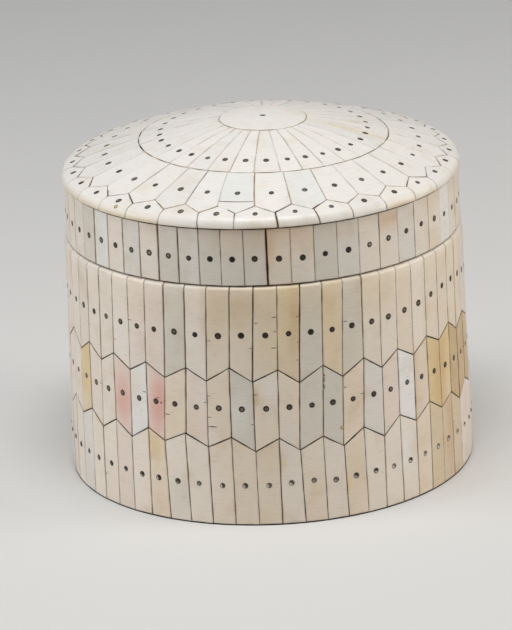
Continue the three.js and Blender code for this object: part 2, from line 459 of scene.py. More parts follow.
def scrapedBone():
    # cattle bone, sawn, scraped and polished: pale and waxy, with faint marks across the strips
    # from the scraper, soft clouds of yellow and a thin stain along the joints
    material, tree, shader = newMaterial("scraped bone")
    look = boneLook
    tint = addNode(tree, "Attribute", {"attribute_name": "tint"}, None, "Color")
    grain = addNode(tree, "Attribute", {"attribute_name": "grain"}, None, "Vector")
    edge = addNode(tree, "Attribute", {"attribute_name": "edge"}, None, "Fac")
    # the third number keeps the plaques' patterns apart
    scrapeScale = (1 / look["scrapeWidth"], 1 / look["scrapeHeight"], 7.3)
    scrapePlace = addNode(tree, "VectorMath", times, {0: grain, 1: scrapeScale})
    scrapes = addNode(tree, "TexNoise", None, {
        "Vector": scrapePlace, "Scale": 1.0, "Detail": 3.0, "Roughness": 0.6,
    })
    cloudScale = (1 / look["cloudSize"], 0.7 / look["cloudSize"], 3.7)
    cloudPlace = addNode(tree, "VectorMath", times, {0: grain, 1: cloudScale})
    clouds = addNode(tree, "TexNoise", None, {
        "Vector": cloudPlace, "Scale": 1.0, "Detail": 3.0, "Roughness": 0.5,
    })
    scrapeShare = addNode(tree, "MapRange", soft, {
        0: scrapes, 1: 0.45, 2: 0.8, 3: 0.0, 4: look["scrapeShare"],
    })
    cloudShare = addNode(tree, "MapRange", soft, {
        0: clouds, 1: 0.48, 2: 0.78, 3: 0.0, 4: look["cloudShare"],
    })
    scraped = addNode(tree, "Mix", multiply, {
        0: scrapeShare, 6: tint, 7: hexColour(look["scrape"]),
    }, 2)
    clouded = addNode(tree, "Mix", multiply, {
        0: cloudShare, 6: scraped, 7: hexColour(look["cloud"]),
    }, 2)
    # dirt that has crept in from the joints
    near, far = look["edgeReach"]
    least, most = look["edgeShare"]
    besideEdge = addNode(tree, "MapRange", soft, {0: edge, 1: near, 2: far, 3: 1.0, 4: 0.0})
    patches = addNode(tree, "MapRange", soft, {0: clouds, 1: 0.4, 2: 0.65, 3: least, 4: most})
    edgeShare = addNode(tree, "Math", times, {0: besideEdge, 1: patches})
    stained = addNode(tree, "Mix", multiply, {
        0: edgeShare, 6: clouded, 7: hexColour(look["edge"]),
    }, 2)
    low, high = look["roughness"]
    roughness = addNode(tree, "MapRange", soft, {0: clouds, 1: 0.3, 2: 0.7, 3: low, 4: high})
    bump = addNode(tree, "Bump", None, {
        "Height": scrapes, "Strength": 0.08, "Distance": look["bump"],
    })
    setInputs(tree, shader, {
        "Base Color": stained,
        "Roughness": roughness,
        "IOR": look["refraction"],
        "Subsurface Weight": look["glow"],
        "Subsurface Radius": (1.0, 0.7, 0.45),
        "Subsurface Scale": look["glowReach"],
        "Normal": bump,
    })
    return material


def dullTint(tree, patchesPerMm, detail, reads, most, darker):
    # the points' own tint, darkened in patches
    tint = addNode(tree, "Attribute", {"attribute_name": "tint"}, None, "Color")
    place = addNode(tree, "TexCoord", None, None, "Object")
    patches = addNode(tree, "TexNoise", None, {
        "Vector": place, "Scale": patchesPerMm / mm, "Detail": detail,
    })
    low, high = reads
    share = addNode(tree, "MapRange", soft, {0: patches, 1: low, 2: high, 3: 0.0, 4: most})
    return addNode(tree, "Mix", multiply, {0: share, 6: tint, 7: hexColour(darker)}, 2)


def jointFiller():
    # dark wax and dirt packed in the joints: dull, brown to almost black, crumbly in places; it also draws
    # black ribs painted as shadow at the floor and under the rim
    material, tree, shader = newMaterial("packed wax and dirt with painted shadow lines")
    colour = dullTint(tree, 0.16, 3.0, (0.4, 0.65), 0.7, "#6b5a48")
    setInputs(tree, shader, {"Base Color": colour, "Roughness": 0.75})
    return material


def ironWire(name, roughness):
    # iron wire filed level with the bone: dark, rusty at the rim, with a dull or a bright glint
    material, tree, shader = newMaterial(name)
    colour = dullTint(tree, 0.9, 2.0, (0.45, 0.7), 0.5, "#8a6c50")
    metal = addNode(tree, "Attribute", {"attribute_name": "edge"}, None, "Fac")
    setInputs(tree, shader, {"Base Color": colour, "Metallic": metal, "Roughness": roughness})
    return material


woodLook = {
    "grain": (0.04 / mm, 0.4 / mm, 0.4 / mm),     # long along the plank that it was turned from
    "dark": "#5d3f27",
    "light": "#8a6440",
    "roughness": 0.6,
    "bump": 0.1 * mm,
}


def turnedWood():
    # old turned wood, waxed: brown, with a fine grain
    material, tree, shader = newMaterial("old turned wood")
    look = woodLook
    place = addNode(tree, "TexCoord", None, None, "Object")
    grainPlace = addNode(tree, "VectorMath", times, {0: place, 1: look["grain"]})
    grain = addNode(tree, "TexNoise", None, {
        "Vector": grainPlace, "Scale": 1.0, "Detail": 6.0, "Roughness": 0.6,
    })
    share = addNode(tree, "MapRange", soft, {0: grain, 1: 0.35, 2: 0.65, 3: 0.0, 4: 1.0})
    colour = addNode(tree, "Mix", cover, {
        0: share, 6: hexColour(look["dark"]), 7: hexColour(look["light"]),
    }, 2)
    bump = addNode(tree, "Bump", None, {
        "Height": grain, "Strength": 0.2, "Distance": look["bump"],
    })
    setInputs(tree, shader, {"Base Color": colour, "Roughness": look["roughness"], "Normal": bump})
    return material


bone = scrapedBone()
filler = jointFiller()
dullIron = ironWire("tarnished iron wire", 0.5)
glossyIronWire = ironWire("polished iron wire with painted highlight", 0.16)
wood = turnedWood()
for carcaseName in ("box_carcase", "lid_carcase"):
    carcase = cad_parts[carcaseName]
    carcase.data.materials.clear()
    carcase.data.materials.append(wood)
print("materials made")


# Tints of the bone and of the filler in its joints

tintCodes = {
    "white": "#efece7",
    # colour of the painted highlight on the body's rounded upper edge
    "worn": "#fbf8f2",
    "mist": "#e8e9e6",
    "pearl": "#eceae6",
    "ivory": "#ebe0d2",
    "cream": "#e9dac6",
    "tan": "#dcc8a8",
    "cool": "#e3ddd5",
    "grey": "#dad3c6",
    "blush": "#e9dacd",
    "rose": "#e2aea0",
    "peach": "#e6d2ba",
    "honey": "#e2ca98",
    "amber": "#cfa26c",
    "brownHoney": "#ceb082",
}
commonTints = ["ivory", "ivory", "cream", "cream", "cream", "blush", "cool", "grey"]
stainTints = ["tan", "grey", "blush", "cool", "white"]
fillerCodes = {
    "black": "#17130f",
    "brown": "#3d2f22",
    "rust": "#7d5530",
    "olive": "#6d5f3a",
    "amber": "#a07a45",
    "pale": "#a78f6e",
}
tints = {name: hexColour(code) for name, code in tintCodes.items()}
fillerTones = {name: hexColour(code) for name, code in fillerCodes.items()}


def fadedTones(first, second, count, beat, start=0):
    # filler that wavers between two tones along a joint
    first, second = fillerTones[first], fillerTones[second]
    shares = [0.5 + 0.5 * math.sin(beat * i + start) for i in range(count)]
    return [[a + (b - a) * share for a, b in zip(first, second)] for share in shares]


# Rows of strips and plaques

def zigzag(turn):
    # 0 at whole numbers and 1 half way between them
    return 1 - abs(1 - 2 * (turn - math.floor(turn)))


def wrapIndex(index, count):
    # counts plaques from the front: negative to the left
    return index - count if index > count / 2 else index


def jointTurn(row, place):
    # angle of a place counted in plaques from the first joint; the plaques are not all one width
    count = row["count"]
    near = (place + count / 2) % count - count / 2
    swell = math.exp(-((near - row["swellAt"]) / row["swellReach"]) ** 2)
    shift = row["shift"] + row["swell"] * swell
    return math.radians(row["firstJoint"]) + fullTurn * (place + shift) / count


def makeJoints(row, chance, radius):
    # angle, slant, gap and filler of each joint round the row
    joints = []
    for number in range(row["count"]):
        index = wrapIndex(number, row["count"])
        angle = jointTurn(row, number) + chance.uniform(-1, 1) * row["jitter"] / radius
        slant = chance.uniform(-1, 1) * row["slant"] / radius
        low, high = row["moved"].get(index, (0, 0))
        angle += (low + high) / 2 * mm / radius
        slant += (high - low) / 2 * mm / radius
        gap = chance.uniform(*row["gap"])
        tone = chance.choice(row["fillers"])
        gap, tone = row["open"].get(index, (gap, tone))
        phase = chance.uniform(0, fullTurn)
        joints.append({"angle": angle, "slant": slant, "gap": gap, "tone": tone, "phase": phase})
    return joints


stainForm = {
    "spread": (0.6, 0.3),     # shares of the plaque's width and length
    "frontAt": 0.3,           # where the tints at the ends, the painted reflection among them, are strongest, in plaques from the front
    "aside": 0.2,             # share of their strength far from there
    # painted highlight along the rounded upper edge, partly a pale polished edge: where it lies and its
    # spread
    "highlightAt": 1.02,
    "highlightSpread": (3.0, 0.055),
}


def makeStains(row, index, chance):
    # colour, place across and along, spread across and along, and strength of each soft stain, of the
    # painted reflection at the lower ends and of the painted highlight on the upper edge
    stains = [(
        tints[chance.choice(stainTints)], chance.random(), chance.random(),
        *stainForm["spread"], chance.random() * row["stainShare"],
    )]
    # tints at the ends of the strips, strongest at the front: the grey at the lower ends is a painted
    # reflection of the pale floor
    for colour, strength, level, reach in row["endStains"]:
        front = math.exp(-((index - stainForm["frontAt"]) / row["frontReach"]) ** 2)
        share = strength * (stainForm["aside"] + (1 - stainForm["aside"]) * front)
        share *= chance.uniform(0.3, 1)
        stains.append((tints[colour], chance.uniform(0.2, 0.8), level, 1.0, reach, share))
    # painted highlight along the rounded upper edge, partly standing for an edge that hands have polished
    worn = row["wornEnd"] * chance.uniform(0.7, 1)
    stains.append((tints["worn"], 0.5, stainForm["highlightAt"], *stainForm["highlightSpread"], worn))
    for colour, *place in row["stains"].get(index, []):
        stains.append((tints[colour], *place))
    return stains


cutForm = {
    "gap": 0.32 * mm,
    "rib": 0.55 * mm,
    "sunk": 0.08 * mm,
}


def addCutPlaque(bones, ribs, plaque, cutAt):
    # a plaque pieced together from two, with rusty filler in the joint across it
    lower, upper = plaque["ends"]
    halfGap = cutForm["gap"] / 2
    pearl, rust = tints["pearl"], fillerTones["rust"]
    addPlaque(bones, {**plaque, "ends": (lambda share: cutAt + halfGap, upper)})
    addPlaque(bones, {**plaque, "ends": (lower, lambda share: cutAt - halfGap), "tint": pearl})
    route = [(side(cutAt), cutAt) for side in plaque["sides"]]
    addRib(ribs, plaque["surface"], route, cutForm["rib"], cutForm["sunk"], [rust] * 2)


ribForm = {
    "overlap": 0.2 * mm,      # how far the filler reaches under the plaques, both sides together
    "wide": 0.38 * mm,        # joints wider than this have lost filler and are
    "deeper": 5,              # so many times deeper
    "beat": 1.7,
}


def makeRow(row, surface, lowerEdge, upperEdge, bones, ribs):
    # all plaques of one row with the filler between them; the edges are paths at a place
    # counted in plaques from the first joint
    chance = random.Random(row["seed"])
    count = row["count"]
    halfEnd = row["endGap"] / 2
    middlePath = (lowerEdge(0.5) + upperEdge(0.5)) / 2
    halfLength = (upperEdge(0.5) - lowerEdge(0.5)) / 2
    joints = makeJoints(row, chance, surface(middlePath)[0])

    def jointAngle(joint, path):
        return joint["angle"] + joint["slant"] * (path - middlePath) / halfLength

    def side(index, facing):
        joint = joints[index % count]
        wrap = fullTurn * (index // count)
        wave = row["ragged"] * min(1, row["raggedGap"] / joint["gap"])

        def angleAt(path):
            ragged = 1 + wave * math.sin(path / row["raggedLength"] + joint["phase"])
            return jointAngle(joint, path) + wrap + facing * joint["gap"] * ragged / 2 / surface(path)[0]
        return angleAt

    plaques = {}
    for number in range(count):
        index = wrapIndex(number, count)
        name = row["tints"].get(index, chance.choice(row["common"]))
        shade = 1 + chance.uniform(-1, 1) * row["shade"]
        plaque = {
            "surface": surface,
            "sides": (side(number, 1), side(number + 1, -1)),
            "ends": (
                lambda share, place=number: lowerEdge(place + share) + halfEnd,
                lambda share, place=number: upperEdge(place + share) - halfEnd,
            ),
            "middle": middlePath,
            "tint": [c * shade for c in tints[name]],
            "stains": makeStains(row, index, chance),
            "seed": number * 3.17 + row["seed"],
            "lift": chance.uniform(-1, 1) * row["lift"],
            "tilt": chance.uniform(-1, 1) * math.radians(row["tilt"]),
            "lean": chance.uniform(-1, 1) * math.radians(row["lean"]),
            **{key: row[key] for key in ("flat", "lowRows", "highRows", "steps")},
        }
        plaques[index] = plaque
        if index in row["cutAcross"]:
            addCutPlaque(bones, ribs, plaque, row["cutAcross"][index])
        else:
            addPlaque(bones, plaque)
    for number, joint in enumerate(joints):
        low, high = lowerEdge(number), upperEdge(number)
        steps = row["ribSteps"]
        paths = [low + (high - low) * i / steps for i in range(steps + 1)]
        route = [(jointAngle(joint, path), path) for path in paths]
        fadeTo = chance.choice(row["fadeTo"])
        tones = fadedTones(joint["tone"], fadeTo, len(route), ribForm["beat"], number)
        sunk = row["ribDepth"] * (ribForm["deeper"] if joint["gap"] > ribForm["wide"] else 1)
        addRib(ribs, surface, route, joint["gap"] + ribForm["overlap"], sunk, tones)
    # nicks that are placed, then random ones away from the front
    brown = fillerTones["brown"]
    for index, share, level, length in row["nicks"]:
        length *= nickForm["longer"] * mm
        addNick(ribs, plaques[index], share, level * mm, length, brown)
    for index, plaque in plaques.items():
        if abs(index) > row["frontNicks"] and chance.random() < row["nickChance"]:
            share = chance.choice((0.1, 0.9))
            level = middlePath + chance.uniform(-0.7, 0.7) * halfLength
            addNick(ribs, plaque, share, level, chance.uniform(0.8, 1.8) * mm, brown)
    return plaques


bodyStrips = 58


def rowSettings(**changes):
    return {
        "count": bodyStrips,
        "firstJoint": 2.9,
        "shift": -0.38,           # strips
        "swell": 0.24,            # strips, the front ones are wider
        "swellAt": 2,
        "swellReach": 5,
        "jitter": 0.05 * mm,
        "slant": 0.05 * mm,
        "gap": (0.16 * mm, 0.32 * mm),
        "open": {},
        "moved": {},              # mm to the right at a joint's lower and upper end
        "ragged": 0.4,            # share by which a joint widens and narrows
        "raggedGap": 0.2 * mm,    # joints wider than this are less ragged
        "raggedLength": 1.6 * mm,
        "fillers": ["black", "black", "brown", "brown", "olive"],
        "fadeTo": ["black", "brown", "brown", "olive", "amber"],
        "endGap": 0.45 * mm,
        "lift": 0.06 * mm,
        "tilt": 1.2,              # degrees
        "lean": 0.1,              # degrees
        "flat": 0.7,              # 0 follows the round of the box, 1 is flat across
        "tints": {},
        "common": commonTints,
        "shade": 0.02,
        "stainShare": 0.6,
        "endStains": [],
        "wornEnd": 0.0,           # share of white on the rounded upper edge: a painted highlight, partly an edge that hands have polished
        "frontReach": 4,
        "stains": {},
        "lowRows": [],
        "highRows": [],
        "steps": 7,
        "ribSteps": 8,
        "ribDepth": 0.12 * mm,
        "cutAcross": {},
        "nicks": [],              # plaque, share across, height in mm and length in mm
        "frontNicks": 6,
        "nickChance": 0.3,
        **changes,
    }


def tintsFrom(first, names):
    # tints of neighbouring plaques, from this place counted from the front
    return dict(enumerate(names.split(), first))


# how far points of the two zigzag lines stray from a regular cut: mm to the right and up
lowStrays = {
    -6: (0.0, 0.5), -5: (-1.4, 1.6), -4: (-0.95, 0.8), -3: (-0.7, 1.1), -2: (-0.3, 0.3), -1: (-0.2, -0.4),
    0: (0.0, -0.35), 1: (-1.0, -0.6), 2: (-0.5, -1.1), 3: (-1.0, -1.25), 4: (-0.6, -0.3), 5: (0.1, -0.9),
    6: (-0.3, 0.65), 7: (0.0, 0.9), 8: (0.0, 1.2), 9: (0.0, 1.0), 10: (-0.6, -0.25), 11: (-0.4, -1.1),
}
highStrays = {
    0: (0.4, -0.6), 1: (0.0, -1.2), 2: (0.55, -0.4), 3: (0.0, -0.95), 4: (0.65, -0.3), 5: (0.45, -0.9),
    6: (0.0, -0.3), 7: (0.35, 0.0), 8: (0.0, 0.3), 9: (0.2, 1.0), 10: (0.0, 0.6), 11: (-0.4, 0.4),
}


def zigzagLine(join, strays, seed):
    # the points of one line: how far each strays sideways, and its height
    chance = random.Random(seed)
    points = []
    for number in range(bodyStrips):
        stray = (chance.uniform(-0.3, 0.3), chance.uniform(-0.6, 0.6))
        side, up = strays.get(wrapIndex(number, bodyStrips), stray)
        points.append((side, join + zigzagRise * (zigzag(number / 2 + 0.5) - 0.5) + up * mm))
    return points


lowLine = zigzagLine(lowerJoin, lowStrays, 3)
highLine = zigzagLine(upperJoin, highStrays, 4)


def alongLine(line, place, value):
    # stray (value 0) or height (value 1) between two points of a line
    number = math.floor(place)
    share = place - number
    first, second = line[number % len(line)][value], line[(number + 1) % len(line)][value]
    return first + (second - first) * share


def levelEdge(path):
    # an edge that has the same path all round
    return lambda place: path


def lowerEdge(place):
    return alongLine(lowLine, place, 1)


def upperEdge(place):
    return alongLine(highLine, place, 1)


def mouthStray(index):
    # the joints of the upper row lean to the right, most of all at the front
    return 0.6 + 1.1 * math.exp(-((index - 1) / 4) ** 2)


strayed = range(1 - bodyStrips // 2, bodyStrips // 2 + 1)
wideBlack = (0.42 * mm, "black")
lowerRow = rowSettings(
    seed=11,
    moved={i: (0.0, lowLine[i][0]) for i in strayed},
    tints=tintsFrom(-12, "ivory cool ivory ivory blush ivory cream ivory ivory cream cream cream ivory "
                         "cream ivory cream ivory ivory ivory cream tan tan tan blush blush"),
    stains={
        -6: [("honey", 0.3, 0.9, 0.6, 0.2, 0.8), ("peach", 0.5, 0.4, 0.6, 0.3, 0.5)],
        -5: [("grey", 0.5, 0.3, 0.8, 0.25, 0.7)],
        -1: [("honey", 0.5, 0.1, 0.3, 0.04, 0.8)],
        0: [("honey", 0.06, 0.76, 0.12, 0.08, 1.0)],
        3: [("honey", 0.03, 0.42, 0.12, 0.1, 0.9)],
        9: [("amber", 0.8, 0.5, 0.4, 0.6, 0.5)],
    },
    open={-6: wideBlack, -3: wideBlack, 5: wideBlack},
)
middleRow = rowSettings(
    seed=23,
    moved={i: (lowLine[i][0], highLine[i][0]) for i in strayed},
    tints=tintsFrom(-12, "blush honey blush ivory blush pearl blush cream blush cream grey cream cream "
                         "grey grey cream cool blush pearl cream honey honey brownHoney brownHoney "
                         "brownHoney"),
    open={
        -7: wideBlack, -6: (0.3 * mm, "black"), -4: (0.5 * mm, "brown"), 1: (0.34 * mm, "black"),
        4: (0.3 * mm, "black"),
    },
    stains={
        -8: [("rose", 0.5, 0.45, 0.6, 0.4, 0.9)],
        -6: [("rose", 0.75, 0.6, 0.5, 0.4, 1.0), ("rose", 0.5, 0.3, 0.6, 0.5, 0.5)],
        -4: [("peach", 0.3, 0.3, 0.6, 0.5, 0.6)],
        -1: [("brownHoney", 0.05, 0.7, 0.2, 0.12, 0.9)],
        7: [("peach", 0.5, 0.4, 0.8, 0.5, 0.6), ("amber", 0.0, 0.5, 0.3, 0.8, 0.3)],
        8: [("amber", 0.9, 0.45, 0.45, 0.6, 0.45)],
        9: [("amber", 0.2, 0.6, 0.3, 0.6, 0.6)],
    },
    nicks=[
        (-3, 0.18, 40.8, 3.4), (-3, 0.07, 53.4, 1.0), (-3, 0.08, 44.7, 1.2), (-5, 0.12, 44.0, 2.0),
        (-4, 0.93, 50.6, 1.2), (-2, 0.93, 42.0, 1.2), (-1, 0.08, 54.2, 1.6), (-7, 0.86, 51.5, 1.6),
        (3, 0.1, 53.8, 1.4), (3, 0.92, 49.9, 1.4), (-6, 0.62, 50.2, 1.2),
    ],
)
upperRow = rowSettings(
    seed=37,
    moved={i: (highLine[i][0], mouthStray(i)) for i in strayed},
    tints=tintsFrom(-12, "ivory blush ivory ivory ivory blush blush grey ivory cream cream cream cream "
                         "grey cream grey cream ivory cream ivory cream cream cream cream"),
    open={-2: (0.34 * mm, "black"), -1: wideBlack, 1: wideBlack, 4: wideBlack},
    # warm tint at the upper ends; the grey at the lower ends is a painted reflection of the floor
    endStains=[("honey", 0.6, 1.0, 0.45), ("grey", 0.4, 0.0, 0.4)],
    wornEnd=1.0,
    stains={
        -4: [("amber", 1.0, 0.8, 0.3, 0.5, 0.3)],
        -3: [("tan", 0.5, 0.7, 1.0, 0.28, 0.7), ("amber", 0.5, 0.9, 1.0, 0.08, 0.25)],
        -2: [("tan", 0.5, 0.72, 1.0, 0.25, 0.7), ("amber", 0.5, 0.8, 1.0, 0.1, 0.25)],
        -1: [("tan", 0.5, 1.0, 1.0, 0.7, 0.6), ("honey", 0.6, 0.35, 0.6, 0.25, 0.4)],
        0: [("honey", 0.5, 0.6, 1.0, 0.7, 0.6), ("brownHoney", 0.8, 0.6, 0.3, 0.5, 0.5)],
        2: [("honey", 0.5, 0.4, 1.0, 0.7, 0.5)],
    },
    highRows=[1.1 * mm, 1.5 * mm, 2.0 * mm, 2.5 * mm],
    nicks=[
        (-1, 0.9, 85.6, 1.9), (-1, 0.93, 79.7, 1.1), (-1, 0.88, 73.1, 2.2), (0, 0.92, 85.2, 1.0),
        (0, 0.93, 74.8, 0.8), (0, 0.93, 67.5, 0.8), (3, 0.12, 80.6, 1.8), (-2, 0.93, 73.3, 1.2),
        (-1, 0.1, 83.4, 1.6), (-3, 0.1, 76.0, 1.1),
    ],
)
lidBand = rowSettings(
    seed=41,
    count=55,
    firstJoint=0.65,
    shift=0.3,
    swell=-0.3,
    swellAt=0,
    swellReach=6,
    open={
        0: (0.8 * mm, "black"), -5: (0.65 * mm, "black"), -4: (0.5 * mm, "black"),
        -9: (0.9 * mm, "black"), -8: (0.45 * mm, "black"),
    },
    gap=(0.1 * mm, 0.22 * mm),
    tints=tintsFrom(-12, "ivory ivory grey white ivory cool ivory grey cool grey grey grey cream ivory "
                         "grey cool ivory ivory cool ivory cream white ivory cream"),
    # warm tint at the upper ends; the grey at the lower ends is a painted reflection of the floor
    endStains=[("amber", 0.4, 0.95, 0.35), ("grey", 0.6, 0.0, 0.4)],
    stains={5: [("amber", 0.5, 0.85, 1.0, 0.15, 0.5)], 0: [("amber", 0.1, 0.8, 0.2, 0.5, 0.5)]},
    nickChance=0.2,
)

# filler along the joints between rows, and black ribs painted as shadow at the floor and under the rim:
# width, and how far it lies below the face
seamForm = {
    "zigzag": (0.7 * mm, 0.15 * mm),
    "floorShadowLine": 0.36 * mm,
    "rimFootShadow": (0.8 * mm, 0.1 * mm),
    "dome": (0.5 * mm, 0.1 * mm),
    "domeBeat": 0.7,
}
black = fillerTones["black"]
rows = {}


def layRow(name, node, row, surface, lowerEdge, upperEdge, ribs):
    bones = newShape()
    rows[name] = makeRow(row, surface, lowerEdge, upperEdge, bones, ribs)
    finishPiece(name, bones, bone, [node])


def ringRoute(path, steps):
    return [(fullTurn * i / steps, path) for i in range(steps)]


footEdge = levelEdge(0.0)
floorEdge = levelEdge(boxForm["footGap"])
mouthEdge = levelEdge(bodyTop + boxForm["mouthReach"])
bandEdge = levelEdge(capEdge - lidFoot - rowGap)
bodyRibs = newShape()
layRow("lowerStrips", "lower_bone_strips", lowerRow, bodySurface, floorEdge, lowerEdge, bodyRibs)
layRow("middleStrips", "middle_bone_strips", middleRow, bodySurface, lowerEdge, upperEdge, bodyRibs)
layRow("upperStrips", "upper_bone_strips", upperRow, bodySurface, upperEdge, mouthEdge, bodyRibs)
# the first route is a black rib at the floor, a painted contact shadow; the other two fill the zigzag
# joints between the rows
for line in ([(0.0, seamForm["floorShadowLine"])] * bodyStrips, lowLine, highLine):
    route = []
    for number in range(2 * bodyStrips):
        place = number / 2
        angle = jointTurn(lowerRow, place) + alongLine(line, place, 0) * mm / footRadius
        route.append((angle, alongLine(line, place, 1)))
    addRib(bodyRibs, bodySurface, route, *seamForm["zigzag"], [black] * len(route), closed=True)
finishPiece("bodyJointFillerAndFloorShadow", bodyRibs, filler)

lidRibs = newShape()
layRow("lidSideStrips", "lid_side_bone_strips", lidBand, bandSurface, footEdge, bandEdge, lidRibs)
# a black ring at the rim's foot: the joint between rim and band, darkened as painted shadow under the
# rim's overhang
rimFootShadow = ringRoute(bandEdge(0) + 0.1 * mm, 2 * lidBand["count"])
addRib(lidRibs, bandSurface, rimFootShadow, *seamForm["rimFootShadow"], [black] * len(rimFootShadow), closed=True)
print("strips laid")


# Plaques on the lid

domePlaques = 32


def topRowSettings(**changes):
    return rowSettings(**{
        "count": domePlaques,
        "firstJoint": -2.4,
        "shift": 0,
        "swell": 0,
        "gap": (0.05 * mm, 0.15 * mm),
        "fillers": ["brown", "rust", "pale", "pale"],
        "fadeTo": ["pale", "pale", "brown"],
        "endGap": 0.14 * mm,
        "tilt": 0.6,
        "lift": 0.04 * mm,
        "common": ["white", "white", "white", "pearl"],
        "shade": 0.015,
        "stainShare": 0.12,
        "flat": 0.5,
        "frontNicks": 0,
        "nickChance": 0.0,
        "jitter": 0.5 * mm,
        **changes,
    })


def rimJoin(place):
    # the rim's plaques end in points between the plaques of the outer ring
    radius = boxForm["rimJoinRadius"] + boxForm["rimJoinRise"] * (zigzag(place) - 0.5)
    return domePath(radius)


rimRow = topRowSettings(
    seed=53,
    firstJoint=-2.4 + 180 / domePlaques,
    lowRows=[1.2 * mm, 1.8 * mm, 2.4 * mm, 3.0 * mm, 3.6 * mm, 4.2 * mm, 4.8 * mm],
    steps=3,
    flat=0.25,
    gap=(0.12 * mm, 0.3 * mm),
    fillers=["brown", "rust", "olive", "black"],
    open={0: (0.6 * mm, "olive")},
    jitter=0.25 * mm,
    moved={-2: (1.2, 0.0), 0: (1.2, 0.0), 1: (2.0, 0.0)},
    endStains=[("honey", 0.5, -0.05, 0.2)],
    frontReach=30,
    stainShare=0.2,
    stains={i: [("tan", 0.5, 0.0, 1.0, 0.2, 0.6)] for i in (-7, -6, -5, -4, 3, 6)},
)
outerRow = topRowSettings(
    seed=61,
    tints={-1: "mist", 1: "mist"},
    cutAcross={-1: domePath(68 * mm)},
    open={0: (0.3 * mm, "rust"), -2: (0.3 * mm, "brown")},
    moved={-2: (0.0, -1.5), -1: (0.0, -3.3), 0: (0.0, -2.5), 1: (0.0, -1.2), 2: (0.0, 0.4)},
    jitter=0.25 * mm,
)
innerRow = topRowSettings(
    seed=71,
    count=33,
    firstJoint=-4.8,
    gap=(0.03 * mm, 0.08 * mm),
    fillers=["pale"],
    fadeTo=["pale"],
    open={2: (0.08 * mm, "rust"), 3: (0.12 * mm, "brown")},
    stains={7: [("honey", 0.5, 0.5, 0.3, 0.5, 0.5)]},
)


def rimPoints(place):
    return rimJoin(place + 0.5)


outerEdge = levelEdge(domePath(ringJoinRadius))
innerEdge = levelEdge(domePath(discRadius))
layRow("lidRimPlaques", "lid_rim_bone_plaques", rimRow, lidSurface, footEdge, rimPoints, lidRibs)
layRow("lidOuterPlaques", "lid_outer_bone_plaques", outerRow, lidSurface, rimJoin, outerEdge, lidRibs)
layRow("lidInnerPlaques", "lid_inner_bone_plaques", innerRow, lidSurface, outerEdge, innerEdge, lidRibs)

firstAngle = math.radians(outerRow["firstJoint"])
halfPlaques = range(2 * domePlaques)
for route in (
    ringRoute(outerEdge(0), 4 * domePlaques),
    ringRoute(innerEdge(0), 2 * domePlaques),
    [(firstAngle + fullTurn * i / len(halfPlaques), rimJoin(i / 2)) for i in halfPlaques],
):
    tones = fadedTones("pale", "brown", len(route), seamForm["domeBeat"])
    addRib(lidRibs, lidSurface, route, *seamForm["dome"], tones, closed=True)
finishPiece("lidJointFillerAndRimShadow", lidRibs, filler)

discForm = {
    "gap": 0.08 * mm,
    "lift": 0.1 * mm,
    "rings": [0.8, 0.6, 0.4, 0.2],
    "sides": 96,
}


def makeDisc():
    shape = newShape()
    tint = tints["white"]
    rim, sides = plaqueForm["rim"], discForm["sides"]
    edgeRadius = discRadius - discForm["gap"]
    radii = [edgeRadius - distance for distance in nearEdge()]
    radii += [edgeRadius * share for share in discForm["rings"]]

    def ringAt(radius, sunk):
        ring = []
        fromEdge = edgeRadius - radius
        height = discForm["lift"] - edgeDrop(fromEdge) - sunk
        for i in range(sides):
            angle = fullTurn * i / sides
            spot = onSurface(lidSurface, angle, domePath(radius), height)
            grain = (radius * math.sin(angle) / mm, radius * math.cos(angle) / mm, 5.0)
            ring.append(addPoint(shape, spot, tint, grain, min(fromEdge, rim) / mm))
        return ring

    joinRings(shape, [ringAt(edgeRadius, plaqueForm["depth"])] + [ringAt(radius, 0.0) for radius in radii])
    return shape


finishPiece("lidCentreDisc", makeDisc(), bone, ["lid_centre_bone_disc"])
print("lid laid")


# Pins

pinForm = {
    "sides": 16,
    "depth": 0.3 * mm,
    "dirtRise": 0.03 * mm,
    "wireRise": 0.05 * mm,
    "dome": [(1.0, 0.0), (0.88, 0.48), (0.68, 0.74), (0.42, 0.91), (0.16, 0.99)],   # shares across, up
    "highlightFrom": (200, 250),     # degrees, the painted highlight lies low on the left
}


def pinLook(**changes):
    return {
        "wire": 0.62 * mm,        # radius of the metal
        "hole": 1.18 * mm,        # radius of the dirty ring round it
        "rise": 0.06 * mm,
        "dirt": "#1d150f",
        "bright": "#e9e3d8",      # painted highlight on one side of a domed pin
        "brightShare": 0.0,
        "tones": ["#6b5d50", "#7b6b5a", "#5b5046", "#85766a"],
        "frontTones": ["#6b5d50", "#5b5046"],
        "frontReach": 0,          # degrees to each side of the front
        "metal": 0.6,
        "wander": 0.2 * mm,
        "bumps": [],              # where the row strays: degrees, reach in degrees, rise in mm
        **changes,
    }


